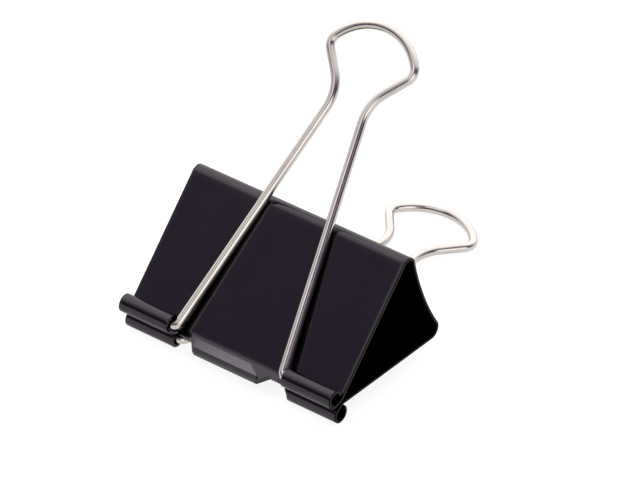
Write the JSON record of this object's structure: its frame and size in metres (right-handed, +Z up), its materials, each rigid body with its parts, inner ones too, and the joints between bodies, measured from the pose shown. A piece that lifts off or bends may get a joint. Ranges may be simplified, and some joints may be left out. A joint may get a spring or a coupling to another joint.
{
  "type": "binder clip",
  "caption": "Foldback binder clip: a triangular spring-steel body with rolled jaw edges and bent-wire handles that fold over either side.",
  "frame": {"origin": "centre of the bounding box at its bottom face, where the clip rests on a table", "axes": "+X along the jaw edges, to the right seen from the jaws; +Y from the jaws towards the spine, along the rear handle; +Z up from the table"},
  "size_m": [0.041, 0.0588, 0.0458],
  "materials": {
    "black_lacquer": "glossy black lacquer on spring steel",
    "nickel_wire": "bright nickel-plated wire"
  },
  "bodies": {
    "rear_jaw": {"rear_jaw": "black_lacquer"},
    "spine": {"spine": "black_lacquer"},
    "front_jaw": {"front_jaw": "black_lacquer"},
    "front_handle": {"front_handle": "nickel_wire"},
    "rear_handle": {"rear_handle": "nickel_wire"}
  },
  "joints": [
    {"name": "rear_corner_flex", "type": "hinge", "parent": "rear_jaw", "child": "spine", "pos_m": [0, -0.00348, 0.00469], "axis": [-1, 0, 0], "range_deg": [0, 24], "stiffness_Nm_per_rad": 1.6},
    {"name": "front_corner_flex", "type": "hinge", "parent": "spine", "child": "front_jaw", "pos_m": [0, -0.01022, 0.01983], "axis": [-1, 0, 0], "range_deg": [0, 24], "stiffness_Nm_per_rad": 1.6},
    {"name": "front_handle_turn", "type": "hinge", "parent": "front_jaw", "child": "front_handle", "pos_m": [0, -0.02786, 0.00497], "axis": [1, 0, 0], "range_deg": [0, 155]},
    {"name": "rear_handle_turn", "type": "hinge", "parent": "rear_jaw", "child": "rear_handle", "pos_m": [0, -0.02632, 0.00152], "axis": [-1, 0, 0], "range_deg": [-2, 152]}
  ],
  "couplings": [
    {"joint": "front_corner_flex", "follows": "rear_corner_flex", "ratio": 1}
  ]
}
